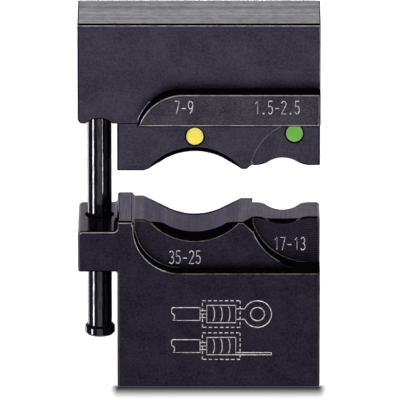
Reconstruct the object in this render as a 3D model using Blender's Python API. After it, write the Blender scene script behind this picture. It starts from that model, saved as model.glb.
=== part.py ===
"""Crimping die set for a hand tool: a lower half, an upper half and the guide pin that joins them.

Metres. +X is to the right, +Y to the back and +Z up, as seen from the marked front.
The set stands on its base, with the upper half part of the way up its travel.
"""

import math

import bmesh
import bpy

MM = 0.001

# Overall
WIDTH = 25.0 * MM
LOWER_DEPTH = 10.0 * MM
EDGE = 0.15 * MM

# Lower half, from the floor up
BLOCK_HEIGHT = 12.5 * MM
JAW_RISE = 5.57 * MM
LAND_DROP = 0.35 * MM
RIDGE_DROP = 0.27 * MM
STOP_FLAT = 1.65 * MM
LAND_CORNER = 0.35 * MM
ARM_REACH = 4.05 * MM
ARM_DROP = 1.07 * MM
ARM_THICKNESS = 4.45 * MM
ARM_CORNER = 0.5 * MM
ARM_FILLET = 0.4 * MM

# Upper half, from its nose up
JAW_OPENING = 4.93 * MM
NOSE_HEIGHT = 5.15 * MM
UPPER_HEIGHT = 10.75 * MM
UPPER_SETBACK = 1.5 * MM
NOSE_SETBACK = 0.2 * MM
LAND_RISE = 0.15 * MM
LAND_WIDTH = 1.2 * MM
SHOULDER_CORNER = 0.55 * MM
LEDGE_RISE = 0.28 * MM
LEDGE_HEIGHT = 3.55 * MM
LEDGE_PROUD = 2.0 * MM
LEDGE_INSET = 1.95 * MM
LEDGE_END_RADIUS = 4.9 * MM

# Front pockets, set into the jaw round each nest
WIDE_POCKET_DEPTH = 1.65 * MM
WIDE_POCKET_INSET = 1.75 * MM
WIDE_POCKET_RADIUS = 4.8 * MM
DIVIDER_INSET = 6.95 * MM
NARROW_POCKET_DEPTH = 3.5 * MM
NARROW_POCKET_RADIUS = 6.1 * MM
NARROW_POCKET_RUN = 1.1 * MM
BACK_POCKET_DEPTH = 1.55 * MM
LOWER_FACET = 1.1 * MM
UPPER_FACET = 0.7 * MM

# Wide nest: two flat flares that lead into one arc, with a bell mouth at each end
WIDE_NEST_INSET = 12.07 * MM
WIDE_NEST_RADIUS = 6.15 * MM
WIDE_NEST_HALF_WIDTH = 5.3 * MM
LOWER_ARC_HALF_WIDTH = 3.3 * MM
UPPER_ARC_HALF_WIDTH = 3.6 * MM
LOWER_NEST_DEPTH = 1.62 * MM
UPPER_NEST_DEPTH = 1.8 * MM
WIDE_FRONT_RISE = 0.75 * MM
WIDE_FRONT_LENGTH = 1.1 * MM
WIDE_BACK_RISE = 0.4 * MM
WIDE_BACK_LENGTH = 1.74 * MM
WIDE_BACK_FLARE = 28.0

# Narrow nest: an arc over most of the width, which runs smoothly into a rounded shoulder each side
NARROW_NEST_INSET = 3.85 * MM
NARROW_NEST_HALF_WIDTH = 2.75 * MM
NARROW_ARC_SHARE = 0.7
LOWER_NARROW_DEPTH = 0.45 * MM
UPPER_NARROW_DEPTH = 0.6 * MM
NARROW_MOUTH_HALF_WIDTH = 2.5 * MM
NARROW_FRONT_RISE = 0.27 * MM
NARROW_FRONT_LENGTH = 0.85 * MM
NARROW_BACK_RISE = 0.38 * MM
NARROW_BACK_LENGTH = 1.2 * MM

# Guide pin, fixed in the upper half and sliding in the arm of the lower half
PIN_DIAMETER = 2.5 * MM
PIN_INSET = 2.2 * MM
PIN_GRIP = 6.0 * MM
PIN_LIFT = 7.45 * MM
PIN_TIP_CHAMFER = 0.3 * MM
HEAD_LIP = 0.3 * MM
HEAD_HEIGHT = 1.1 * MM
HEAD_CHAMFER = 0.22 * MM
BORE_CLEARANCE = 0.05 * MM
BORE_END_GAP = 0.3 * MM
COUNTERSINK = 0.2 * MM
SCALLOP_RADIUS = 2.0 * MM
SCALLOP_HEIGHT = 0.55 * MM

# Paint-filled marks on the nose
DOT_DIAMETER = 1.84 * MM
DOT_DEPTH = 0.35 * MM
YELLOW_DOT_RISE = 3.7 * MM
GREEN_DOT_RISE = 3.45 * MM
GREEN_DOT_INSET = 2.65 * MM
DOT_CLEARANCE = 0.05 * MM
DOT_SINK = 0.06 * MM
DOT_RIM = 0.08 * MM

# How finely round forms are divided
ARC_STEPS = 12
MOUTH_STEPS = 19
NARROW_STEPS = 20
CORNER_STEPS = 12
POCKET_STEPS = 20
PIN_SIDES = 64
DOT_SIDES = 48

# Cutters reach this far past what they cut, and the flares of a nest end this far off the land
PAST = 1.0 * MM
LAND_CLEARANCE = 0.1 * MM

# A bell mouth's cutter starts outside its face and ends past its throat, in shares of its length
MOUTH_START = -0.5
MOUTH_END = 1.2

# Places that follow from the sizes above
LEFT = -WIDTH / 2
RIGHT = WIDTH / 2
OVERALL_DEPTH = LOWER_DEPTH + LEDGE_PROUD - UPPER_SETBACK
BACK = OVERALL_DEPTH / 2
LOWER_FRONT = BACK - LOWER_DEPTH
UPPER_FRONT = LOWER_FRONT + UPPER_SETBACK
LEDGE_FRONT = UPPER_FRONT - LEDGE_PROUD
NOSE_FRONT = UPPER_FRONT + NOSE_SETBACK
WIDE_FACE = LOWER_FRONT + WIDE_POCKET_DEPTH
NARROW_FACE = LOWER_FRONT + NARROW_POCKET_DEPTH
NARROW_BACK = BACK - BACK_POCKET_DEPTH

JAW_LEFT = LEFT + ARM_REACH
JAW_TOP = BLOCK_HEIGHT + JAW_RISE
WIDE_LAND = JAW_TOP - LAND_DROP
NARROW_LAND = WIDE_LAND - RIDGE_DROP
ARM_TOP = JAW_TOP - ARM_DROP
ARM_UNDERSIDE = ARM_TOP - ARM_THICKNESS
NOSE_BOTTOM = JAW_TOP + JAW_OPENING
SHOULDER = NOSE_BOTTOM + NOSE_HEIGHT
TOP = SHOULDER + UPPER_HEIGHT
LEDGE_BOTTOM = SHOULDER + LEDGE_RISE
LEDGE_TOP = LEDGE_BOTTOM + LEDGE_HEIGHT

DIVIDER = RIGHT - DIVIDER_INSET
WIDE_NEST_X = LEFT + WIDE_NEST_INSET
NARROW_NEST_X = RIGHT - NARROW_NEST_INSET
PIN_X = LEFT + PIN_INSET
PIN_Y = (UPPER_FRONT + BACK) / 2
PIN_RADIUS = PIN_DIAMETER / 2
BORE_RADIUS = PIN_RADIUS + BORE_CLEARANCE
HEAD_TOP = ARM_UNDERSIDE - PIN_LIFT
PIN_TOP = SHOULDER + PIN_GRIP
YELLOW_DOT = (WIDE_NEST_X, NOSE_FRONT, NOSE_BOTTOM + YELLOW_DOT_RISE)
GREEN_DOT = (RIGHT - GREEN_DOT_INSET, NARROW_FACE, NOSE_BOTTOM + GREEN_DOT_RISE)


def arc(centre, radius, start, end, steps):
    """Points on an arc in the XZ plane. Angles are in degrees, anticlockwise from +X."""
    points = []
    for step in range(steps + 1):
        angle = math.radians(start + (end - start) * step / steps)
        points.append((centre[0] + radius * math.cos(angle), centre[1] + radius * math.sin(angle)))
    return points


def loft(name, sections):
    """A closed solid through sections that all have the same number of points."""
    mesh = bpy.data.meshes.new(name)
    shape = bmesh.new()
    rings = [[shape.verts.new(point) for point in section] for section in sections]
    shape.faces.new(rings[0])
    shape.faces.new(rings[-1])
    for ring, following in zip(rings, rings[1:]):
        for index in range(len(ring)):
            after = (index + 1) % len(ring)
            shape.faces.new((ring[index], ring[after], following[after], following[index]))
    bmesh.ops.recalc_face_normals(shape, faces=shape.faces)
    shape.to_mesh(mesh)
    shape.free()
    mesh.shade_smooth()
    mesh.set_sharp_from_angle(angle=math.radians(25))
    solid = bpy.data.objects.new(name, mesh)
    bpy.context.scene.collection.objects.link(solid)
    return solid


def prism(name, outline, front, back):
    """An outline in the XZ plane, carried from front to back."""
    return loft(name, [[(x, y, z) for x, z in outline] for y in (front, back)])


def turned(name, profile, x, y, sides):
    """A solid turned about a vertical axis. The profile gives radius and height, bottom to top."""
    sections = []
    for radius, height in profile:
        ring = []
        for side in range(sides):
            angle = 2 * math.pi * side / sides
            ring.append((x + radius * math.cos(angle), y + radius * math.sin(angle), height))
        sections.append(ring)
    return loft(name, sections)


def disc(name, profile, x, z, sides):
    """A solid turned about an axis that runs front to back. The profile gives radius and Y."""
    sections = []
    for radius, y in profile:
        ring = []
        for side in range(sides):
            angle = 2 * math.pi * side / sides
            ring.append((x + radius * math.cos(angle), y, z + radius * math.sin(angle)))
        sections.append(ring)
    return loft(name, sections)


def break_edges(solid):
    """Breaks the sharp edges of a machined block."""
    bevel = solid.modifiers.new("broken edges", "BEVEL")
    bevel.width = EDGE
    bevel.segments = 1
    bevel.limit_method = "ANGLE"
    bevel.angle_limit = math.radians(40)


def combine(body, tool, operation):
    """Adds one Boolean to a body and hides its tool."""
    modifier = body.modifiers.new(tool.name, "BOOLEAN")
    modifier.operation = operation
    modifier.object = tool
    tool.hide_render = True
    tool.display_type = "WIRE"
    tool.parent = body


def cut(body, *tools):
    for tool in tools:
        combine(body, tool, "DIFFERENCE")


def material(name, colour, roughness, metallic):
    """A plain material with the piece's own colour."""
    made = bpy.data.materials.new(name)
    made.use_nodes = True
    shader = made.node_tree.nodes["Principled BSDF"]
    shader.inputs["Base Color"].default_value = (*colour, 1.0)
    shader.inputs["Roughness"].default_value = roughness
    shader.inputs["Metallic"].default_value = metallic
    return made


def flared(curve, spread, land, side):
    """Carries both ends of a nest's curve out and on until they are just clear of the land."""
    lip = land + side * LAND_CLEARANCE
    run = spread * abs(lip - curve[0][1])
    return [(curve[0][0] - run, lip)] + curve + [(curve[-1][0] + run, lip)]


def closed_past(curve, land, side):
    """Closes a cutter's outline past the land, straight out from the ends of its curve."""
    high = land + side * PAST
    return curve + [(curve[-1][0], high), (curve[0][0], high)]


def mouth(name, outline, face, inwards, rise, side):
    """A cutter that slopes in through a face. The outline is what it cuts in the face itself."""
    sections = []
    for share in (MOUTH_START, MOUTH_END):
        lift = side * rise * share
        sections.append([(x, face + inwards * share, z + lift) for x, z in outline])
    return loft(name, sections)


def wide_nest_arc(depth, land, side, steps, spacing):
    """The arc of the wide nest. side is 1 where the nest opens upwards and -1 where it opens down."""
    centre = land + side * (WIDE_NEST_RADIUS - depth)
    points = []
    for step in range(-steps, steps + 1):
        angle = step * spacing
        x = WIDE_NEST_X + WIDE_NEST_RADIUS * math.sin(angle)
        points.append((x, centre - side * WIDE_NEST_RADIUS * math.cos(angle)))
    return points


def wide_nest(name, depth, arc_half_width, land, side, front):
    """Cutters for a wide nest: the nest itself, then the bell mouth at the front and at the back."""
    spacing = math.asin(arc_half_width / WIDE_NEST_RADIUS) / ARC_STEPS
    curve = wide_nest_arc(depth, land, side, ARC_STEPS, spacing)
    spread = (WIDE_NEST_HALF_WIDTH - arc_half_width) / abs(land - curve[0][1])
    nest = closed_past(flared(curve, spread, land, side), land, side)

    curve = wide_nest_arc(depth + WIDE_FRONT_RISE, land, side, MOUTH_STEPS, spacing)
    front_outline = closed_past(curve, land, side)

    back_steps = round(math.radians(WIDE_BACK_FLARE) / spacing)
    spread = 1 / math.tan(back_steps * spacing)
    curve = wide_nest_arc(depth + WIDE_BACK_RISE, land, side, back_steps, spacing)
    back_outline = closed_past(flared(curve, spread, land, side), land, side)

    front_run = (WIDE_FRONT_LENGTH, WIDE_FRONT_RISE, side)
    back_run = (-WIDE_BACK_LENGTH, WIDE_BACK_RISE, side)
    return [
        prism(name, nest, front - PAST, BACK + PAST),
        mouth(f"{name}_front_mouth", front_outline, front, *front_run),
        mouth(f"{name}_back_mouth", back_outline, BACK, *back_run),
    ]


def narrow_nest_curve(depth, half_width, land, side):
    """The arc and the shoulders of a narrow nest of one depth."""
    slope = 2 * math.atan(depth / half_width)
    both_radii = half_width / math.sin(slope)
    arc_radius = NARROW_ARC_SHARE * both_radii
    shoulder_radius = both_radii - arc_radius
    points = []
    for step in range(-NARROW_STEPS, NARROW_STEPS + 1):
        x = half_width * step / NARROW_STEPS
        reach = half_width - abs(x)
        if abs(x) < NARROW_ARC_SHARE * half_width:
            z = arc_radius - depth - math.sqrt(arc_radius**2 - x**2)
        else:
            z = math.sqrt(shoulder_radius**2 - reach**2) - shoulder_radius
        points.append((NARROW_NEST_X + x, land + side * z))
    return points


def narrow_nest(name, depth, land, side):
    """Cutters for a narrow nest: the nest itself, then the bell mouth at the front and at the back."""
    curve = narrow_nest_curve(depth, NARROW_NEST_HALF_WIDTH, land, side)
    tools = [prism(name, closed_past(curve, land, side), NARROW_FACE - PAST, NARROW_BACK + PAST)]
    mouths = (
        ("front_mouth", NARROW_FACE, NARROW_FRONT_LENGTH, NARROW_FRONT_RISE),
        ("back_mouth", NARROW_BACK, -NARROW_BACK_LENGTH, NARROW_BACK_RISE),
    )
    for label, face, inwards, rise in mouths:
        curve = narrow_nest_curve(depth + rise, NARROW_MOUTH_HALF_WIDTH, land, side)
        outline = closed_past(curve, land, side)
        tools.append(mouth(f"{name}_{label}", outline, face, inwards, rise, side))
    return tools


def narrow_pocket(name, land, floor, side, front, back):
    """The pocket that sets the narrow nest back: an arched wall that runs out along its floor."""
    centre = (RIGHT - NARROW_POCKET_RUN, floor + side * NARROW_POCKET_RADIUS)
    start = math.degrees(math.acos((centre[0] - DIVIDER) / NARROW_POCKET_RADIUS))
    outline = [(DIVIDER, land + side * PAST)]
    for x, z in arc((0.0, 0.0), NARROW_POCKET_RADIUS, 180 + start, 270, POCKET_STEPS):
        outline.append((centre[0] + x, centre[1] + side * z))
    outline += [(RIGHT + PAST, floor), (RIGHT + PAST, land + side * PAST)]
    return prism(name, outline, front, back)


def divider_facet(name, facet, land, side, front):
    """A wedge that takes the corner off the divider between the two pockets, to nothing at the back."""
    high = land + side * PAST
    past = DIVIDER + PAST
    sections = []
    for y, size in ((front, facet), (NARROW_FACE, 0.0)):
        low = land - side * size
        corner = [(DIVIDER, y, low), (past, y, low), (past, y, high)]
        sections.append([(DIVIDER - PAST - size, y, high)] + corner)
    return loft(name, sections)


def lower_outline():
    """Front view of the lower half: base, block, jaw and the arm at its left."""
    outline = [(JAW_LEFT, 0.0), (RIGHT, 0.0)]
    corner = (RIGHT - LAND_CORNER, NARROW_LAND - LAND_CORNER)
    outline += arc(corner, LAND_CORNER, 0, 90, CORNER_STEPS)
    outline.append((WIDE_NEST_X + LOWER_ARC_HALF_WIDTH, NARROW_LAND))
    outline.append((WIDE_NEST_X - LOWER_ARC_HALF_WIDTH, WIDE_LAND))
    outline += [(JAW_LEFT + STOP_FLAT, WIDE_LAND), (JAW_LEFT + STOP_FLAT, JAW_TOP)]
    outline += [(JAW_LEFT, JAW_TOP)]
    outline += arc((JAW_LEFT - ARM_FILLET, ARM_TOP + ARM_FILLET), ARM_FILLET, 0, -90, CORNER_STEPS)
    outline += arc((LEFT + ARM_CORNER, ARM_TOP - ARM_CORNER), ARM_CORNER, 90, 180, CORNER_STEPS)
    outline += [(LEFT, ARM_UNDERSIDE), (JAW_LEFT, ARM_UNDERSIDE)]
    return outline


def lower_die(finish):
    body = prism("lower_die", lower_outline(), LOWER_FRONT, BACK)
    body.data.materials.append(finish)
    break_edges(body)

    wall = JAW_LEFT + WIDE_POCKET_INSET
    centre = (wall + WIDE_POCKET_RADIUS, BLOCK_HEIGHT + WIDE_POCKET_RADIUS)
    outline = [(wall, JAW_TOP + PAST)]
    outline += arc(centre, WIDE_POCKET_RADIUS, 180, 270, POCKET_STEPS)
    outline += [(RIGHT + PAST, BLOCK_HEIGHT), (RIGHT + PAST, JAW_TOP + PAST)]
    cut(body, prism("wide_pocket", outline, LOWER_FRONT - PAST, WIDE_FACE))

    cut(
        body,
        narrow_pocket("narrow_pocket", NARROW_LAND, BLOCK_HEIGHT, 1, LOWER_FRONT - PAST, NARROW_FACE),
        narrow_pocket("back_pocket", NARROW_LAND, BLOCK_HEIGHT, 1, NARROW_BACK, BACK + PAST),
        divider_facet("lower_divider_facet", LOWER_FACET, NARROW_LAND, 1, WIDE_FACE),
    )
    shape = (LOWER_NEST_DEPTH, LOWER_ARC_HALF_WIDTH)
    cut(body, *wide_nest("lower_wide_nest", *shape, WIDE_LAND, 1, WIDE_FACE))
    cut(body, *narrow_nest("lower_narrow_nest", LOWER_NARROW_DEPTH, NARROW_LAND, 1))

    bore = [
        (BORE_RADIUS, ARM_UNDERSIDE - PAST),
        (BORE_RADIUS, ARM_TOP - COUNTERSINK),
        (BORE_RADIUS + 2 * COUNTERSINK, ARM_TOP + COUNTERSINK),
    ]
    cut(body, turned("arm_bore", bore, PIN_X, PIN_Y, PIN_SIDES))
    return body


def upper_outline():
    """Front view of the upper half: nose below, head above, with a scallop round the pin."""
    half = math.sqrt(SCALLOP_RADIUS**2 - (SCALLOP_RADIUS - SCALLOP_HEIGHT) ** 2)
    tilt = math.degrees(math.asin(half / SCALLOP_RADIUS))
    scallop_centre = (PIN_X, SHOULDER + SCALLOP_HEIGHT - SCALLOP_RADIUS)
    outline = [(LEFT, TOP)]
    corner = (LEFT + SHOULDER_CORNER, SHOULDER + SHOULDER_CORNER)
    outline += arc(corner, SHOULDER_CORNER, 180, 270, CORNER_STEPS)
    outline += arc(scallop_centre, SCALLOP_RADIUS, 90 + tilt, 90 - tilt, CORNER_STEPS)
    outline += [(JAW_LEFT, SHOULDER), (JAW_LEFT, NOSE_BOTTOM)]
    outline += [(DIVIDER - LAND_WIDTH, NOSE_BOTTOM), (DIVIDER - LAND_WIDTH, NOSE_BOTTOM + LAND_RISE)]
    outline += [(DIVIDER, NOSE_BOTTOM + LAND_RISE), (DIVIDER, NOSE_BOTTOM)]
    outline += [(RIGHT, NOSE_BOTTOM), (RIGHT, TOP)]
    return outline


def ledge():
    """The raised ledge across the foot of the head. Its left end is rounded over."""
    centre = (JAW_LEFT + LEDGE_INSET + LEDGE_END_RADIUS, LEDGE_TOP - LEDGE_END_RADIUS)
    drop = math.degrees(math.asin((LEDGE_BOTTOM - centre[1]) / LEDGE_END_RADIUS))
    outline = [(RIGHT, LEDGE_BOTTOM), (RIGHT, LEDGE_TOP)]
    outline += arc(centre, LEDGE_END_RADIUS, 90, 180 - drop, POCKET_STEPS)
    return prism("ledge", outline, LEDGE_FRONT, UPPER_FRONT + PAST)


def upper_die(finish):
    body = prism("upper_die", upper_outline(), UPPER_FRONT, BACK)
    body.data.materials.append(finish)
    break_edges(body)
    raised = ledge()
    break_edges(raised)
    combine(body, raised, "UNION")

    face = [(JAW_LEFT - PAST, NOSE_BOTTOM - PAST), (RIGHT + PAST, NOSE_BOTTOM - PAST)]
    face += [(RIGHT + PAST, SHOULDER), (JAW_LEFT - PAST, SHOULDER)]
    cut(body, prism("nose_face", face, UPPER_FRONT - PAST, NOSE_FRONT))
    near = UPPER_FRONT - PAST
    cut(
        body,
        narrow_pocket("nose_pocket", NOSE_BOTTOM, LEDGE_BOTTOM, -1, near, NARROW_FACE),
        narrow_pocket("nose_back_pocket", NOSE_BOTTOM, LEDGE_BOTTOM, -1, NARROW_BACK, BACK + PAST),
        divider_facet("upper_divider_facet", UPPER_FACET, NOSE_BOTTOM + LAND_RISE, -1, NOSE_FRONT),
    )
    shape = (UPPER_NEST_DEPTH, UPPER_ARC_HALF_WIDTH)
    cut(body, *wide_nest("upper_wide_nest", *shape, NOSE_BOTTOM, -1, NOSE_FRONT))
    cut(body, *narrow_nest("upper_narrow_nest", UPPER_NARROW_DEPTH, NOSE_BOTTOM, -1))

    hole = [(BORE_RADIUS, SHOULDER - PAST), (BORE_RADIUS, PIN_TOP + BORE_END_GAP)]
    cut(body, turned("blind_bore", hole, PIN_X, PIN_Y, PIN_SIDES))
    for name, (x, y, z) in (("yellow_recess", YELLOW_DOT), ("green_recess", GREEN_DOT)):
        recess = [(DOT_DIAMETER / 2, y - PAST), (DOT_DIAMETER / 2, y + DOT_DEPTH)]
        cut(body, disc(name, recess, x, z, DOT_SIDES))
    return body


def guide_pin(finish):
    """One turned pin with a head at its foot."""
    head_radius = PIN_RADIUS + HEAD_LIP
    foot = HEAD_TOP - HEAD_HEIGHT
    profile = [
        (head_radius - HEAD_CHAMFER, foot),
        (head_radius, foot + HEAD_CHAMFER),
        (head_radius, HEAD_TOP - HEAD_CHAMFER),
        (head_radius - HEAD_CHAMFER, HEAD_TOP),
        (PIN_RADIUS, HEAD_TOP),
        (PIN_RADIUS, PIN_TOP - PIN_TIP_CHAMFER),
        (PIN_RADIUS - PIN_TIP_CHAMFER, PIN_TOP),
    ]
    pin = turned("guide_pin", profile, PIN_X, PIN_Y, PIN_SIDES)
    pin.data.materials.append(finish)
    return pin


def dot(name, place, finish):
    """The paint in one round recess, slightly sunk and rounded off at its rim."""
    x, face_y, z = place
    radius = DOT_DIAMETER / 2 - DOT_CLEARANCE
    front = face_y + DOT_SINK
    profile = [
        (radius - DOT_RIM, front),
        (radius, front + DOT_RIM),
        (radius, face_y + DOT_DEPTH - DOT_CLEARANCE),
    ]
    paint = disc(name, profile, x, z, DOT_SIDES)
    paint.data.materials.append(finish)
    return paint


def clear_scene():
    for old in list(bpy.data.objects):
        bpy.data.objects.remove(old, do_unlink=True)


def moving_frame(pieces):
    """An empty on the pin's axis, which carries all that slides."""
    empty = bpy.data.objects.new("pin_axis", None)
    bpy.context.scene.collection.objects.link(empty)
    empty.location = (PIN_X, PIN_Y, ARM_TOP)
    bpy.context.view_layer.update()
    for piece in pieces:
        piece.parent = empty
        piece.matrix_parent_inverse = empty.matrix_world.inverted()


def build():
    clear_scene()
    steel = material("black oxide steel", (0.045, 0.04, 0.06), 0.38, 0.9)
    bright = material("polished pin steel", (0.02, 0.02, 0.025), 0.12, 0.9)
    yellow = material("yellow paint", (0.85, 0.63, 0.06), 0.35, 0.0)
    green = material("green paint", (0.1, 0.5, 0.06), 0.35, 0.0)
    lower_die(steel)
    moving = [upper_die(steel), guide_pin(bright)]
    moving.append(dot("yellow_dot", YELLOW_DOT, yellow))
    moving.append(dot("green_dot", GREEN_DOT, green))
    moving_frame(moving)


build()
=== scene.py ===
"""The finish, the markings and the studio of a crimping die set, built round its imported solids.

Metres. +X is to the right, +Y to the back and +Z up, as seen from the marked front.
"""

import math

import bmesh
import bpy
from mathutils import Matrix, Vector


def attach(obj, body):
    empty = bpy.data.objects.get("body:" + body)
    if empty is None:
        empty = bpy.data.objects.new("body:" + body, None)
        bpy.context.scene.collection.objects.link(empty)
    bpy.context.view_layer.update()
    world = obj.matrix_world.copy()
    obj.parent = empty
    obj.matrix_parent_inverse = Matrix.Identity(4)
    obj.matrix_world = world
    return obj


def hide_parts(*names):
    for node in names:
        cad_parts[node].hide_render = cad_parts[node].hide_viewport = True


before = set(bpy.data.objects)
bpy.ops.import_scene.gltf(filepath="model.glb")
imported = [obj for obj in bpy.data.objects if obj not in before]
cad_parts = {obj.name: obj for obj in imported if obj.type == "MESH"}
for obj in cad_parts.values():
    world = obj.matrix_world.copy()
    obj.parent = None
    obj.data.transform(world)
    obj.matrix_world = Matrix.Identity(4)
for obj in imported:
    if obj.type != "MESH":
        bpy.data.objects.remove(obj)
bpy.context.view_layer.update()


# Studio.
# The set stands on a white table. A dark ceiling, a pale screen before and behind it and a
# narrow lamp at each side draw the bright and black bands that blackened steel shows.
MM = 0.001
CAMERA_DISTANCE = 1055.7 * MM
CAMERA_RISE = math.radians(17.93)
CAMERA_AIM = Vector((0.1, -4.38, 20.28)) * MM
SENSOR = 36.0
FRAME_PIXELS = 400
PIXELS_PER_RADIAN = 10236.6
TABLE_HALF = 900 * MM
TABLE_WHITE = (0.9, 0.9, 0.9, 1)
BLACK = (0, 0, 0, 1)
# The front of the foot, its middle and half its width, how far the shade before it reaches, how
# much faster that fades at the ends, and what is left of the white at the foot itself
FOOT_FRONT = -4.75 * MM
FOOT_MIDDLE = 2.0 * MM
FOOT_HALF = 10.35 * MM
SHADE_REACH = 4.3 * MM
SHADE_ENDS = 4.2
SHADE_DEPTH = 0.03
AMBIENT = 0.14
SCREEN = 1.0
SCREEN_EDGE = (0.3, 0.42)
CEILING = 0.03
CEILING_EDGE = (0.45, 0.62)
OVERHEAD_POWER = 3.1
FILL_POWER = 0.9
FILL_TURN = (math.radians(62), 0.0, math.radians(-25))
# Each lamp's bearing in degrees from the front, its width in metres and its power in watts
LAMPS = {
    "lamp_left": (-64, 0.15, 8.5),
    "lamp_right": (29, 0.05, 2.8),
    "lamp_behind": (-138, 0.2, 2.4),
}
LAMP_REACH = 700 * MM
LAMP_DROP = math.radians(-18)


class Shade:
    """A socket of a node tree. Arithmetic on it adds Math nodes, and add makes any other node."""

    def __init__(self, tree, socket=None):
        self.tree = tree
        self.socket = socket

    def add(self, kind, settings=None, values=None, output=0):
        node = self.tree.nodes.new("ShaderNode" + kind)
        for name, value in (settings or {}).items():
            setattr(node, name, value)
        for name, value in (values or {}).items():
            if isinstance(value, Shade):
                self.tree.links.new(value.socket, node.inputs[name])
            else:
                node.inputs[name].default_value = value
        return Shade(self.tree, node.outputs[output])

    def maths(self, operation, *values):
        return self.add("Math", {"operation": operation}, dict(enumerate(values)))

    def __add__(self, other):
        return self.maths("ADD", self, other)

    def __sub__(self, other):
        return self.maths("SUBTRACT", self, other)

    def __rsub__(self, other):
        return self.maths("SUBTRACT", other, self)

    def __mul__(self, other):
        return self.maths("MULTIPLY", self, other)

    __radd__ = __add__
    __rmul__ = __mul__

    def between(self, low, high, start=0.0, end=1.0):
        """Maps low to start and high to end, smoothly, and holds the ends."""
        limits = {"From Min": low, "From Max": high, "To Min": start, "To Max": end}
        settings = {"interpolation_type": "SMOOTHSTEP"}
        return self.add("MapRange", settings, {"Value": self, **limits})

    def mix(self, first, second):
        """Two colours, mixed by this value."""
        return self.add("Mix", {"data_type": "RGBA"}, {0: self, 6: first, 7: second}, output=2)

    def split(self):
        """The X, Y and Z parts of a vector."""
        parts = self.add("SeparateXYZ", None, {0: self}).socket.node.outputs
        return [Shade(self.tree, part) for part in parts]


def studio_light():
    """The world: pale screens before and behind, dim sides and a dark ceiling."""
    world = bpy.data.worlds.new("studio")
    bpy.context.scene.world = world
    world.use_nodes = True
    tree = Shade(world.node_tree)
    across, _, up = tree.add("TexCoord", output=0).split()
    screen = across.maths("ABSOLUTE", across).between(*SCREEN_EDGE, 1.0, 0.0)
    open_sky = up.between(*CEILING_EDGE, 1.0, CEILING)
    strength = (screen * (SCREEN - AMBIENT) + AMBIENT) * open_sky
    background = world.node_tree.nodes["Background"]
    world.node_tree.links.new(strength.socket, background.inputs["Strength"])
    background.inputs["Color"].default_value = (1.0, 1.0, 1.0, 1.0)


def put_light(name, kind, place, turn, power):
    data = bpy.data.lights.new(name, kind)
    data.energy = power
    light = bpy.data.objects.new(name, data)
    light.location = place
    light.rotation_euler = turn
    bpy.context.scene.collection.objects.link(light)
    return light


def put_lamps():
    overhead = put_light("overhead", "SUN", (0, 0, 1), (0, 0, 0), OVERHEAD_POWER)
    fill = put_light("fill", "SUN", (0, -1, 1), FILL_TURN, FILL_POWER)
    for light in (overhead, fill):
        light.data.use_shadow = False
        light.visible_glossy = False
    for name, (azimuth, width, power) in LAMPS.items():
        turn = math.radians(azimuth)
        flat = LAMP_REACH * math.cos(LAMP_DROP)
        rise = LAMP_REACH * math.sin(LAMP_DROP)
        place = Vector((flat * math.sin(turn), -flat * math.cos(turn), rise)) + CAMERA_AIM
        lamp = put_light(name, "AREA", place, (0, 0, 0), power)
        lamp.rotation_euler = (place - CAMERA_AIM).to_track_quat("Z", "Y").to_euler()
        lamp.data.shape = "RECTANGLE"
        lamp.data.size = width
        lamp.data.size_y = LAMP_REACH
        lamp.visible_camera = False
        lamp.visible_diffuse = False


def put_camera():
    data = bpy.data.cameras.new("camera")
    data.sensor_width = SENSOR
    data.lens = PIXELS_PER_RADIAN / FRAME_PIXELS * SENSOR
    data.clip_end = 10
    camera = bpy.data.objects.new("camera", data)
    back = Vector((0, -math.cos(CAMERA_RISE), math.sin(CAMERA_RISE)))
    camera.location = CAMERA_AIM + back * CAMERA_DISTANCE
    camera.rotation_euler = (math.pi / 2 - CAMERA_RISE, 0, 0)
    bpy.context.scene.collection.objects.link(camera)
    bpy.context.scene.camera = camera


def start_alone():
    """Leaves edit mode with nothing selected."""
    if bpy.context.object and bpy.context.object.mode != "OBJECT":
        bpy.ops.object.mode_set(mode="OBJECT")
    bpy.ops.object.select_all(action="DESELECT")


def new_finish(name):
    """A material, with the wrapped nodes and the shader to set."""
    material = bpy.data.materials.new(name)
    material.use_nodes = True
    shader = material.node_tree.nodes["Principled BSDF"]
    return material, Shade(material.node_tree), shader.inputs


def feed(inputs, name, shade):
    """Links a shade to one socket of a shader."""
    shade.tree.links.new(shade.socket, inputs[name])


def place_of(tree):
    """Object coordinates, in metres."""
    return tree.add("TexCoord", output=3)


def put_table():
    """A white table, with soft shade where the set stands on it."""
    start_alone()
    bpy.ops.mesh.primitive_plane_add(size=2 * TABLE_HALF)
    table = bpy.context.object
    table.name = "table"
    material, tree, shader = new_finish("white table")
    across, along, _ = place_of(tree).split()
    # The shadow before the foot is painted into the table's colour.
    off_middle = across.maths("ABSOLUTE", across - FOOT_MIDDLE)
    beside = across.maths("MAXIMUM", off_middle - FOOT_HALF, 0.0) * SHADE_ENDS
    before = along.maths("MAXIMUM", FOOT_FRONT - along, (along - FOOT_FRONT) * SHADE_ENDS)
    reach = across.maths("SQRT", beside * beside + before * before)
    out_of_painted_shadow = reach.between(0.0, SHADE_REACH, SHADE_DEPTH, 1.0)
    feed(shader, "Base Color", out_of_painted_shadow.mix(BLACK, TABLE_WHITE))
    shader["Roughness"].default_value = 1.0
    shader["Specular IOR Level"].default_value = 0.0
    table.data.materials.append(material)
    table.visible_glossy = False


bpy.context.scene.view_settings.view_transform = "Standard"
studio_light()
put_lamps()
put_camera()
put_table()
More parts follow.
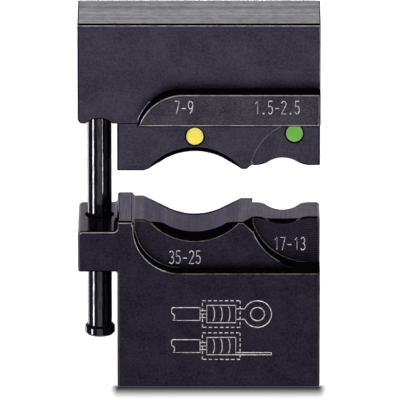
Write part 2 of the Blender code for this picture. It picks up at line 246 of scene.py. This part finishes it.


# Lower half.
# One block of tool steel, ground on its outside, milled in its pockets, then blackened. The black
# has worn off along its edges, and faces and edges that lie in shade are painted near black as
# painted shade. Figures for wire sizes and a sign are engraved by a cutter.
WORN_EDGE = 0.045 * MM
BLUNT_EDGE = 0.14 * MM
CUT_DROP = 0.2 * MM
CUT_LOOK = (0, -1, 1)
EDGE_ANGLE = math.radians(38)
CORNER_ANGLE = math.radians(60)
SQUARE_ANGLE = (math.radians(80), math.radians(100))
CORNER_RISE = 0.05
SMOOTH_ANGLE = math.radians(9)
FLAT_ANGLE = math.radians(1)
SLIVER = 0.02 * MM
TOUCH = 0.001 * MM
# Parts of a normal: of a face in line with an axis, of one that looks up, of one that is oblique
# to the front (least and most), of one that looks sideways, that rises, or that leans at all
STRAIGHT = 0.9999
UPWARD = 0.75
OBLIQUE = (0.25, 0.95)
SIDEWAYS = 0.3
RISING = 0.2
LEANING = 0.02
# Slots of the finishes, in the order of each half's list
GROUND, WORN, MILLED, SHADED, FAINT, RINGED, HONED, DULL = range(8)


def speckle(tree, size, stretch=(1, 1, 1), detail=2.0, roughness=0.5):
    """Noise from 0 to 1, with features of about one size in metres, stretched along the axes."""
    scale = [1 / (size * longer) for longer in stretch]
    place = tree.add("Mapping", None, {"Vector": place_of(tree), "Scale": scale})
    values = {"Vector": place, "Scale": 1.0, "Detail": detail, "Roughness": roughness}
    return tree.add("TexNoise", None, values)


def relief(tree, inputs, height, depth):
    """A bump of one depth in metres."""
    bump = tree.add("Bump", None, {"Height": height, "Distance": depth, "Strength": 1.0})
    feed(inputs, "Normal", bump)


def ground_black(name, dark, light, roughness, clear=None):
    """Ground and blackened faces: fine grain, faint grinding lines and cloudy blotches. The clear
    rule, where there is one, gives 1 out of a painted shade and near 0 in it."""
    material, tree, shader = new_finish(name)
    grain = speckle(tree, 0.2 * MM, detail=3.0, roughness=0.75)
    lines = speckle(tree, 0.09 * MM, stretch=(25, 25, 1))
    cloud = speckle(tree, 2.2 * MM, detail=3.0)
    tone = (grain * 0.7 + lines * 0.15 + cloud * 0.35).between(0.38, 0.82)
    colour = tone.mix((*dark, 1), (*light, 1))
    if clear:
        colour = clear(tree).mix(BLACK, colour)
    feed(shader, "Base Color", colour)
    feed(shader, "Roughness", roughness + (cloud - 0.5) * 0.2 + (grain - 0.5) * 0.2)
    shader["Metallic"].default_value = 0.92
    relief(tree, shader, grain + lines * 0.5, 0.004 * MM)
    return material


def worn_steel(name, dark, light, metallic=0.85):
    """Edges where the black has rubbed through to steel, more in some places than in others."""
    material, tree, shader = new_finish(name)
    worn = speckle(tree, 1.1 * MM, detail=4.0, roughness=0.7).between(0.25, 0.6)
    feed(shader, "Base Color", worn.mix((*dark, 1), (*light, 1)))
    shader["Roughness"].default_value = 0.5
    shader["Metallic"].default_value = metallic
    return material


def milled_black(name, dark, light, pitch, stretch, gloss, rim):
    """Milled and blackened faces, with tool lines along one axis and smudges. The rim colour dulls
    what they mirror at a low angle."""
    material, tree, shader = new_finish(name)
    lines = speckle(tree, pitch, stretch=stretch, detail=2.0)
    smudge = speckle(tree, 0.8 * MM, detail=3.0, roughness=0.6)
    tone = (lines * 0.6 + smudge * 0.5).between(0.35, 0.75)
    feed(shader, "Base Color", tone.mix((*dark, 1), (*light, 1)))
    feed(shader, "Roughness", gloss + (smudge - 0.5) * 0.15)
    shader["Metallic"].default_value = 0.95
    shader["Specular Tint"].default_value = (*rim, 1)
    relief(tree, shader, lines, 0.002 * MM)
    return material


def shaded_black():
    """Chamfers, bell mouths, pocket walls and floors that lie in shade or mirror dark: painted near
    black and without shine, as painted shade.
    """
    material, tree, shader = new_finish("painted shade black")
    grain = speckle(tree, 0.15 * MM, detail=2.0)
    feed(shader, "Base Color", grain.mix((0.0004, 0.0004, 0.0006, 1), (0.002, 0.0018, 0.0024, 1)))
    shader["Roughness"].default_value = 0.6
    shader["Specular IOR Level"].default_value = 0.0
    return material


def reach_from(tree, centre):
    """The distance from a point, in metres."""
    ends = {0: place_of(tree), 1: centre}
    return tree.add("VectorMath", {"operation": "DISTANCE"}, ends, output=1)


def ringed_black(name, dark, light, centre, pitch):
    """A pocket face with the faint rings that an end mill leaves."""
    material, tree, shader = new_finish(name)
    reach = reach_from(tree, centre)
    wobble = speckle(tree, 0.5 * MM, detail=3.0)
    turns = reach * (math.tau / pitch) + wobble * 5.0
    ring = turns.maths("SINE", turns)
    grain = speckle(tree, 0.12 * MM, detail=3.0, roughness=0.7)
    tone = (ring * 0.25 + grain * 0.7 + wobble * 0.3).between(0.1, 0.9)
    feed(shader, "Base Color", tone.mix((*dark, 1), (*light, 1)))
    shader["Roughness"].default_value = 0.4
    shader["Metallic"].default_value = 0.92
    relief(tree, shader, ring, 0.004 * MM)
    return material


def etched_steel():
    """The floor of an engraved stroke: bare steel, dulled by the cutter."""
    material, tree, shader = new_finish("engraved stroke")
    patch = speckle(tree, 0.25 * MM, detail=3.0).between(0.3, 0.65)
    feed(shader, "Base Color", patch.mix((0.36, 0.35, 0.36, 1), (0.72, 0.71, 0.72, 1)))
    shader["Roughness"].default_value = 0.7
    shader["Metallic"].default_value = 0.2
    return material


def middle_of(edge):
    return (edge.verts[0].co + edge.verts[1].co) / 2


def breaks(edge):
    """Whether an edge is worn: a sharp outer edge, or a steep inner corner that is filleted."""
    if not edge.is_manifold:
        return False
    turn = edge.calc_face_angle_signed()
    first, second = (corner.co for corner in edge.verts)
    steep = abs(first.z - second.z) > CORNER_RISE * edge.calc_length()
    return turn > EDGE_ANGLE or (steep and turn < -CORNER_ANGLE)


def square_front(edge):
    """Whether an edge is the square outer edge of a face that looks to the front."""
    if not edge.is_manifold:
        return False
    looks = sorted(face.normal.y for face in edge.link_faces)
    square = SQUARE_ANGLE[0] < edge.calc_face_angle_signed() < SQUARE_ANGLE[1]
    return square and looks[0] < -OBLIQUE[1] and abs(looks[1]) < OBLIQUE[0]


def take(block):
    """Selects one object alone and makes it the active one."""
    start_alone()
    block.select_set(True)
    bpy.context.view_layer.objects.active = block


def bevel_edges(mesh, rule, width, **settings):
    """Chamfers, in edit mode, the edges that a rule picks."""
    shape = bmesh.from_edit_mesh(mesh)
    for edge in shape.edges:
        edge.select = rule(edge)
    bmesh.update_edit_mesh(mesh)
    bpy.ops.mesh.bevel(offset=width, segments=1, affect="EDGES", clamp_overlap=False, **settings)


def worked_copy(node, name, finishes, blunt=None, cut=None):
    """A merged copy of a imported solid. One edge can be cut off by a plane, square front edges get
    a plain chamfer where the blunt rule says so, and then each sharp edge gets a worn one."""
    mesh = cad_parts[node].data.copy()
    block = bpy.data.objects.new(name, mesh)
    bpy.context.scene.collection.objects.link(block)
    take(block)
    mesh.materials.clear()
    for finish in finishes:
        mesh.materials.append(finish)
    bpy.ops.mesh.customdata_custom_splitnormals_clear()
    bpy.ops.object.mode_set(mode="EDIT")
    bpy.ops.mesh.select_mode(type="EDGE")
    bpy.ops.mesh.select_all(action="SELECT")
    bpy.ops.mesh.remove_doubles(threshold=SLIVER)
    bpy.ops.mesh.dissolve_limited(angle_limit=FLAT_ANGLE)
    if cut:
        bpy.ops.mesh.select_all(action="SELECT")
        bpy.ops.mesh.bisect(plane_co=cut, plane_no=CUT_LOOK, threshold=TOUCH, use_fill=True,
                            clear_outer=True)
    if blunt:
        bevel_edges(mesh, lambda edge: square_front(edge) and blunt(middle_of(edge)), BLUNT_EDGE)
    bevel_edges(mesh, breaks, WORN_EDGE, material=WORN)
    bpy.ops.object.mode_set(mode="OBJECT")
    return block


def lay_finishes(block, choose, choose_edge):
    """Gives each face, and each broken edge, the finish that a rule chooses for it."""
    for face in block.data.polygons:
        rule = choose_edge if face.material_index == WORN else choose
        face.material_index = rule(face.normal, face.center)


def bow(centre, radii, start, end, steps=12):
    """Points on part of an ellipse, between two angles in degrees."""
    points = []
    for step in range(steps + 1):
        angle = math.radians(start + (end - start) * step / steps)
        x = centre[0] + radii[0] * math.cos(angle)
        z = centre[1] + radii[1] * math.sin(angle)
        points.append((x, z))
    return points


# Each figure is one pass of the cutter, in a box one unit high, with X measured from its middle
FIGURES = {
    "1": [(-0.11, 0.8), (0.06, 1.0), (0.06, 0.0)],
    "2": bow((0, 0.76), (0.17, 0.24), 165, -32) + [(-0.17, 0.0), (0.18, 0.0)],
    "3": bow((0, 0.76), (0.15, 0.24), 150, -90) + bow((0, 0.26), (0.17, 0.26), 85, -150),
    "5": [(0.15, 1.0), (-0.12, 1.0), (-0.14, 0.57)] + bow((-0.01, 0.31), (0.17, 0.31), 110, -150),
    "7": [(-0.17, 1.0), (0.17, 1.0), (-0.05, 0.0)],
    "9": bow((0, 0.7), (0.17, 0.3), 10, 370, 20) + bow((-0.12, 0.7), (0.29, 0.68), -6, -75, 8),
    "-": [(-0.15, 0.43), (0.15, 0.43)],
    ".": [(-0.03, 0.0), (0.03, 0.0), (0.03, 0.07), (-0.03, 0.07), (-0.03, 0.0)],
}
FIGURE_HEIGHT = 1.36 * MM
FIGURE_PITCH = 0.69 * MM
STROKE = 0.055 * MM


def figures(text, left, foot, y):
    """The cutter's passes for a row of figures, from its left end and foot."""
    passes = []
    for number, letter in enumerate(text):
        middle = left + (number + 0.5) * FIGURE_PITCH
        passes.append([(middle + x * FIGURE_HEIGHT, y, foot + z * FIGURE_HEIGHT)
                       for x, z in FIGURES[letter]])
    return passes


def engrave(block, passes, finish):
    """Cuts round-bottomed strokes into a block."""
    curve = bpy.data.curves.new("cutter", "CURVE")
    curve.dimensions = "3D"
    curve.bevel_depth = STROKE
    curve.bevel_resolution = 1
    curve.use_fill_caps = True
    for points in passes:
        closed = points[0] == points[-1]
        spline = curve.splines.new("POLY")
        spline.points.add(len(points) - (2 if closed else 1))
        for point, place in zip(spline.points, points):
            point.co = (*place, 1.0)
        spline.use_cyclic_u = closed
    cutter = bpy.data.objects.new("cutter", curve)
    bpy.context.scene.collection.objects.link(cutter)
    take(cutter)
    bpy.ops.object.convert(target="MESH")
    cutter.data.materials.clear()
    cutter.data.materials.append(finish)

    take(block)
    cut = block.modifiers.new("engraving", "BOOLEAN")
    cut.operation = "DIFFERENCE"
    cut.solver = "EXACT"
    cut.use_self = True
    cut.material_mode = "TRANSFER"
    cut.object = cutter
    bpy.ops.object.modifier_apply(modifier=cut.name)
    bpy.data.objects.remove(cutter, do_unlink=True)


def round_off(block):
    """Smooth shading over curved forms, and flat shading over straight ones."""
    take(block)
    bpy.ops.object.shade_smooth_by_angle(angle=SMOOTH_ANGLE)
    for face in block.data.polygons:
        if max(abs(part) for part in face.normal) > STRAIGHT:
            face.use_smooth = False


# Levels and faces of the lower half
LAND_FLOOR = 14.9 * MM
POCKET_RIGHT = 12.0 * MM
NARROW_LEFT = 7.0 * MM
OUTER_LEFT = -8.2 * MM
BLOCK_FRONT = -4.75 * MM
WIDE_FACE = -3.1 * MM
NARROW_FACE = -1.25 * MM
MILL_CENTRE = (11.4 * MM, NARROW_FACE, 18.6 * MM)
MILL_PITCH = 0.24 * MM
JAW_TOP = 18.07 * MM
RIM_FOOT = 13.2 * MM
JAW_FLOOR = 16.6 * MM
NEST_MIDDLE = -0.43 * MM
NEST_HALF = 4.75 * MM
NEST_WORN = 2.4 * MM
PIN_PLACE = (-10.3 * MM, 1.0 * MM)
BORE_REACH = 1.6 * MM
# Parts of a normal here: of a worn edge that looks to the front, of a nest's side that looks
# down, and of a block's edge that gets the brighter worn finish, as painted light, because it looks
# to the right
EDGE_BEND = 0.6
DOWNWARD = -0.5
PAINTED_LIT_RIGHT = 0.12


def lower_blunt(place):
    """The front edges of the lower half with a plain chamfer: all but the arm's upper one."""
    return place.x > OUTER_LEFT or place.z < LAND_FLOOR


def on_outside(look, place):
    """Whether a broken edge is an upright one at the left or the right end."""
    return abs(look.x) > SIDEWAYS and not OUTER_LEFT < place.x < POCKET_RIGHT


def lower_finish(look, place):
    """The finish of one face of the lower half, by where it looks and lies. Chamfers, bell mouths,
    pocket walls and floors and the bore's ring, which lie in shade or mirror dark, get the painted
    shade black.
    """
    if look.z < UPWARD and math.dist((place.x, place.y), PIN_PLACE) < BORE_REACH:
        return SHADED
    if LEANING < look.y < OBLIQUE[1]:
        return SHADED
    if abs(look.y) < OBLIQUE[0] and place.z > JAW_FLOOR and look.z > DOWNWARD:
        return HONED if abs(place.x - NEST_MIDDLE) < NEST_HALF else MILLED
    if OBLIQUE[0] < abs(look.y) < OBLIQUE[1]:
        if on_outside(look, place):
            return DULL
        return GROUND if place.z < BLUNT_EDGE else SHADED
    if look.z > UPWARD:
        return HONED if place.z > LAND_FLOOR else SHADED
    if look.x > LEANING and OUTER_LEFT < place.x < POCKET_RIGHT:
        return SHADED
    if look.y < -OBLIQUE[1] and abs(place.y - NARROW_FACE) < WORN_EDGE:
        return RINGED
    return GROUND


def lower_edge(look, place):
    """The finish of a broken edge of the lower half. The edges are worn, and which worn finish each
    gets, brighter or fainter, is picked by where it looks as painted light: brightest up and to the
    front, and the painted shade black where it looks away.
    """
    if look.y > -EDGE_BEND:
        return SHADED
    if abs(place.y - NARROW_FACE) < 2 * WORN_EDGE:
        if place.z > LAND_FLOOR and abs(look.x) < OBLIQUE[0]:
            return SHADED
        return WORN if abs(look.x) > SIDEWAYS and place.x < POCKET_RIGHT else FAINT
    if abs(place.y - WIDE_FACE) < 2 * WORN_EDGE:
        if place.x > NARROW_LEFT - NEST_WORN:
            return WORN if place.z > LAND_FLOOR else FAINT if place.z > RIM_FOOT else SHADED
        left = place.x < NEST_MIDDLE - NEST_WORN
        return WORN if left and abs(look.x) > SIDEWAYS else FAINT
    if look.z > RISING and (place.x < OUTER_LEFT or place.z > LAND_FLOOR):
        return WORN
    if OUTER_LEFT < place.x < POCKET_RIGHT and look.z > -RISING:
        return WORN if look.x > PAINTED_LIT_RIGHT else FAINT
    if on_outside(look, place):
        return DULL
    return GROUND if place.z < BLUNT_EDGE else SHADED


# The sign is a ring terminal on its cable, from above and from the side, in millimetres from the
# middle of its barrel. The dashes are its sleeve.
CABLE = (-5.0, -2.2, 0.7)
CORE = (-2.2, -1.5, 0.38)
BARREL = (-1.5, 1.5, 0.95)
CRIMPS = (-0.8, 0.0, 0.8)
SLEEVE = (-1.95, 1.95, 1.45)
RING = (3.75, 1.45, 0.72)
NECK = 0.57
TONGUE = 0.24
DASH = (0.34, 0.24)
# How far the cable's cut end waves, and each crimp's set-back, bulge and margin
WAVE = 0.16
CRIMP = (0.12, 0.22, 0.15)


def dashes(start, end):
    """Short passes with gaps along a straight line."""
    run = math.dist(start, end)
    step = sum(DASH)
    count = max(1, round((run + DASH[1]) / step))
    passes = []
    for number in range(count):
        ends = []
        for along in (number * step, number * step + DASH[0]):
            share = min(along / run, 1.0)
            ends.append(tuple(first + (last - first) * share for first, last in zip(start, end)))
        passes.append(ends)
    return passes


def cable_and_barrel():
    """The passes that both views of the terminal share."""
    left, right, half = CABLE
    wave = bow((left, half / 2), (WAVE, half / 2), 90, 270, 8)
    wave += bow((left, -half / 2), (WAVE, half / 2), 90, -90, 8)[1:]
    passes = [[(right, half), (left, half)] + wave[1:] + [(right, -half), (right, half)]]
    for side in (-CORE[2], 0.0, CORE[2]):
        passes.append([(CORE[0], side), (CORE[1], side)])
    left, right, half = BARREL
    passes.append([(left, -half), (left, half), (right, half), (right, -half), (left, -half)])
    back, bulge, margin = CRIMP
    for place in CRIMPS:
        passes.append(bow((place - back, 0.0), (bulge, half - margin), -80, 80, 8))
    left, right, half = SLEEVE
    corners = [(left, -half), (left, half), (right, half), (right, -half), (left, -half)]
    for start, end in zip(corners, corners[1:]):
        passes += dashes(start, end)
    return passes


def terminal_sign(middle, level, drop, y):
    """Both views of the terminal, one a drop below the other."""
    ring, outer, hole = RING
    start, end, foot = BARREL[1], ring + outer, -BARREL[2]
    gap = math.degrees(math.asin(NECK / outer))
    above = cable_and_barrel() + [bow((ring, 0), (hole, hole), 0, 360, 24)]
    rim = bow((ring, 0), (outer, outer), 180 - gap, gap - 180, 28)
    above.append([(start, NECK)] + rim + [(start, -NECK)])
    beside = cable_and_barrel()
    beside.append([(start, foot + TONGUE), (end, foot + TONGUE), (end, foot), (start, foot)])
    passes = []
    for view, centre in ((above, level), (beside, level - drop)):
        for points in view:
            passes.append([(middle + x * MM, y, centre + z * MM) for x, z in points])
    return passes


lower_dark, lower_light = (0.008, 0.006, 0.013), (0.031, 0.027, 0.046)
lower_black = ground_black("lower ground black", lower_dark, lower_light, 0.36)
worn_edge = worn_steel("worn edge", (0.16, 0.155, 0.17), (0.62, 0.61, 0.62))
faint_edge = worn_steel("faintly worn edge", (0.03, 0.027, 0.036), (0.24, 0.235, 0.25))
painted_shade_black = shaded_black()
stroke_steel = etched_steel()
land_black = milled_black("land black", (0.005, 0.004, 0.008), (0.056, 0.051, 0.068),
                          0.14 * MM, (1, 30, 1), 0.16, (0.7, 0.68, 0.74))
nest_black = milled_black("nest black", (0.004, 0.003, 0.006), (0.038, 0.034, 0.05),
                          0.3 * MM, (1, 30, 1), 0.2, (0.6, 0.58, 0.66))
ring_black = ringed_black("ringed black", lower_dark, lower_light, MILL_CENTRE, MILL_PITCH)
dull_edge = worn_steel("dull edge", (0.009, 0.008, 0.012), (0.04, 0.037, 0.048), 0.1)
lower_finishes = [lower_black, worn_edge, land_black, painted_shade_black, faint_edge, ring_black,
                  nest_black, dull_edge]
lower_cut = (0, BLOCK_FRONT, JAW_TOP - CUT_DROP)
lower = worked_copy("lower_die", "lower_half", lower_finishes, blunt=lower_blunt, cut=lower_cut)
lay_finishes(lower, lower_finish, lower_edge)
lower_marks = figures("35-25", -3.2 * MM, 12.97 * MM, WIDE_FACE)
lower_marks += figures("17-13", 7.65 * MM, 13.84 * MM, NARROW_FACE)
lower_marks += terminal_sign(2.3 * MM, 8.0 * MM, 3.5 * MM, BLOCK_FRONT)
engrave(lower, lower_marks, stroke_steel)
round_off(lower)
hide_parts("lower_die")
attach(lower, "lower")


# Upper half.
# The same steel and black as the lower half, a shade lighter. Its top face is milled along its
# length and only thinly blackened.
LEDGE_FRONT = -5.25 * MM
LEDGE_BACK = -3.3 * MM
UPPER_FRONT = -3.25 * MM
UPPER_TOP = 38.9 * MM
TOP_FLOOR = 38.0 * MM
NOSE_TOP = 28.1 * MM
STEP_LEFT = 5.0 * MM
STEP_BACK = -2.6 * MM
YELLOW_PLACE = (-0.43 * MM, -3.05 * MM, 26.7 * MM)
GREEN_PLACE = (9.85 * MM, -1.25 * MM, 26.45 * MM)
RECESS_REACH = 1.15 * MM
# The part of a normal that looks sideways on a steep edge
STEEP = 0.5
# The ledge's foot and left end, how fast its shade falls as it goes back, how soon that clears and
# what is left of the colour in it
LEDGE_FOOT = 28.63 * MM
LEDGE_END = -6.2 * MM
LEDGE_SLOPE = 0.3236
LEDGE_SHADE = (0.13 * MM, 0.24 * MM)
LEDGE_DEPTH = 0.05
# The upper half's own finishes, in the last three slots
RUBBED, SCUFFED, NOSE = RINGED, HONED, DULL


def upper_blunt(place):
    """The front edges of the upper half with a plain chamfer: all but the ledge's."""
    return place.y > LEDGE_BACK


def clear_of_ledge(tree):
    """1 on the nose below and beside the shade of the ledge, and near 0 in it."""
    across, back, up = place_of(tree).split()
    below = (LEDGE_FOOT - up) - (back - LEDGE_FRONT) * LEDGE_SLOPE
    clear = across.maths("MAXIMUM", below, LEDGE_END - across)
    return clear.between(*LEDGE_SHADE, LEDGE_DEPTH, 1.0)


def on_step(look, place):
    """Whether a face is on the broken edge of the step beside the narrow nest."""
    return STEP_LEFT < place.x < POCKET_RIGHT and place.y < STEP_BACK and look.x > LEANING


def upper_finish(look, place):
    """The finish of one face of the upper half, by where it looks and lies. Chamfers, bell mouths
    and the ledge's top, which lie in shade, get the painted shade black, and the nose carries the
    painted shade under the ledge.
    """
    if OBLIQUE[0] < abs(look.y) < OBLIQUE[1]:
        return SCUFFED if on_step(look, place) and place.y > LEDGE_BACK else SHADED
    if look.z > UPWARD and place.z > TOP_FLOOR:
        return MILLED
    if abs(look.y) < OBLIQUE[0] and place.y < LEDGE_BACK:
        return SHADED
    if look.y < -OBLIQUE[1] and place.y < LEDGE_BACK:
        return RUBBED
    return NOSE if look.y < -OBLIQUE[1] and place.z < NOSE_TOP else GROUND


def upper_edge(look, place):
    """The finish of a broken edge of the upper half. The edges are worn, most round the ledge and
    along the top, and elsewhere the finish is picked by where each looks as painted light, with the
    painted shade black where it looks away or lies in shade.
    """
    if look.y > -EDGE_BEND:
        return SHADED
    if place.y < LEDGE_BACK or (look.z > RISING and place.z > TOP_FLOOR):
        return WORN
    if place.z > NOSE_TOP and place.x < 0:
        return WORN if abs(look.x) > STEEP else SHADED
    if min(math.dist(place, YELLOW_PLACE), math.dist(place, GREEN_PLACE)) < RECESS_REACH:
        return GROUND
    if on_step(look, place):
        return SCUFFED
    return FAINT if place.x > POCKET_RIGHT else SHADED


upper_dark, upper_light = (0.026, 0.022, 0.037), (0.068, 0.060, 0.092)
upper_black = ground_black("upper ground black", upper_dark, upper_light, 0.36)
ledge_black = ground_black("ledge rubbed black", (0.022, 0.018, 0.03), (0.088, 0.08, 0.108), 0.4)
top_black = milled_black("top black", (0.03, 0.03, 0.034), (0.28, 0.28, 0.29),
                         0.7 * MM, (60, 1, 1), 0.3, (0.97, 0.97, 1.0))
scuffed_edge = worn_steel("scuffed edge", (0.02, 0.018, 0.025), (0.16, 0.15, 0.18), 0.1)
# The nose's black carries the painted shade of the ledge above it.
nose_black = ground_black("nose ground black", upper_dark, upper_light, 0.36, clear_of_ledge)
upper_finishes = [upper_black, worn_edge, top_black, painted_shade_black, faint_edge, ledge_black,
                  scuffed_edge, nose_black]
upper_cut = (0, UPPER_FRONT, UPPER_TOP - CUT_DROP)
upper = worked_copy("upper_die", "upper_half", upper_finishes, blunt=upper_blunt, cut=upper_cut)
lay_finishes(upper, upper_finish, upper_edge)
upper_marks = figures("7-9", -2.6 * MM, 29.86 * MM, LEDGE_FRONT)
upper_marks += figures("1.5-2.5", 5.6 * MM, 29.86 * MM, LEDGE_FRONT)
engrave(upper, upper_marks, stroke_steel)
round_off(upper)
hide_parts("upper_die")
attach(upper, "upper")


# Guide pin.
# Turned and ground from one rod with its head, polished so that it slides, then blackened thinly.
def polished_black():
    """Black that has been rubbed to a shine, with scuffs along the pin."""
    material, tree, shader = new_finish("polished pin")
    scuff = speckle(tree, 0.3 * MM, stretch=(1, 1, 4), detail=4.0, roughness=0.7)
    tone = scuff.between(0.3, 0.8)
    feed(shader, "Base Color", tone.mix((0.023, 0.022, 0.025, 1), (0.08, 0.077, 0.086, 1)))
    feed(shader, "Roughness", scuff.between(0.4, 0.8, 0.08, 0.22))
    shader["Metallic"].default_value = 0.95
    shader["Specular Tint"].default_value = (0.8, 0.8, 0.8, 1)
    return material


pin_black = polished_black()
pin = worked_copy("guide_pin", "pin", [pin_black, pin_black])
round_off(pin)
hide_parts("guide_pin")
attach(pin, "pin")


# Paint marks.
# Each round recess in the nose is filled with thick gloss paint, which stands up against the rim
# of the recess and sinks a little in the middle as it dries.
DOT_RADIUS = 0.87 * MM
DOT_BACK = 0.2 * MM
DOT_SIDES = 48
# Rings from the outer edge inwards: the share of the radius, and how many millimetres forward
DOT_RINGS = ((0.97, 0.0), (0.88, 0.045), (0.76, 0.02), (0.5, 0.0), (0.2, -0.005))
DOT_LEVEL = 0.06 * MM
DOT_RIM = (0.68 * DOT_RADIUS, 0.9 * DOT_RADIUS)
DOT_ANGLE = math.radians(50)


def thick_paint(name, inner, outer, centre):
    """Gloss paint, mottled, and of another shade round its raised rim."""
    material, tree, shader = new_finish(name)
    rim = reach_from(tree, centre).between(*DOT_RIM)
    mottle = speckle(tree, 0.35 * MM, detail=3.0, roughness=0.6).between(0.35, 0.7)
    tone = (rim * 0.8 + mottle * 0.35).between(0.0, 1.0)
    feed(shader, "Base Color", tone.mix((*inner, 1), (*outer, 1)))
    shader["Roughness"].default_value = 0.4
    shader["Coat Weight"].default_value = 0.4
    shader["Coat Roughness"].default_value = 0.15
    relief(tree, shader, mottle, 0.01 * MM)
    return material


def paint_mark(name, centre, paint):
    """A disc of paint that looks to the front, drawn up into a low rim."""
    start_alone()
    x, y, z = centre
    bpy.ops.mesh.primitive_cylinder_add(vertices=DOT_SIDES, radius=DOT_RADIUS, depth=DOT_BACK,
                                        location=(x, y + DOT_LEVEL + DOT_BACK / 2, z),
                                        rotation=(math.pi / 2, 0, 0))
    bpy.ops.object.transform_apply(location=True, rotation=True, scale=True)
    mark = bpy.context.object
    mark.name = name
    bpy.ops.object.mode_set(mode="EDIT")
    bpy.ops.mesh.select_mode(type="FACE")
    bpy.ops.mesh.select_all(action="DESELECT")
    shape = bmesh.from_edit_mesh(mark.data)
    for face in shape.faces:
        face.select = face.normal.y < -STRAIGHT
    bmesh.update_edit_mesh(mark.data)
    last_share, last_rise = 1.0, 0.0
    for share, rise in DOT_RINGS:
        width, lift = (last_share - share) * DOT_RADIUS, (rise - last_rise) * MM
        bpy.ops.mesh.inset(thickness=width, depth=lift)
        last_share, last_rise = share, rise
    bpy.ops.object.mode_set(mode="OBJECT")
    mark.data.materials.append(paint)
    bpy.ops.object.shade_smooth_by_angle(angle=DOT_ANGLE)
    return mark


yellow_paint = thick_paint("yellow paint", (1.0, 0.8, 0.055), (0.88, 0.76, 0.15), YELLOW_PLACE)
green_paint = thick_paint("green paint", (0.11, 0.46, 0.015), (0.17, 0.42, 0.07), GREEN_PLACE)
yellow_dot = paint_mark("yellow_mark", YELLOW_PLACE, yellow_paint)
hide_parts("yellow_dot")
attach(yellow_dot, "upper")
green_dot = paint_mark("green_mark", GREEN_PLACE, green_paint)
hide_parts("green_dot")
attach(green_dot, "upper")
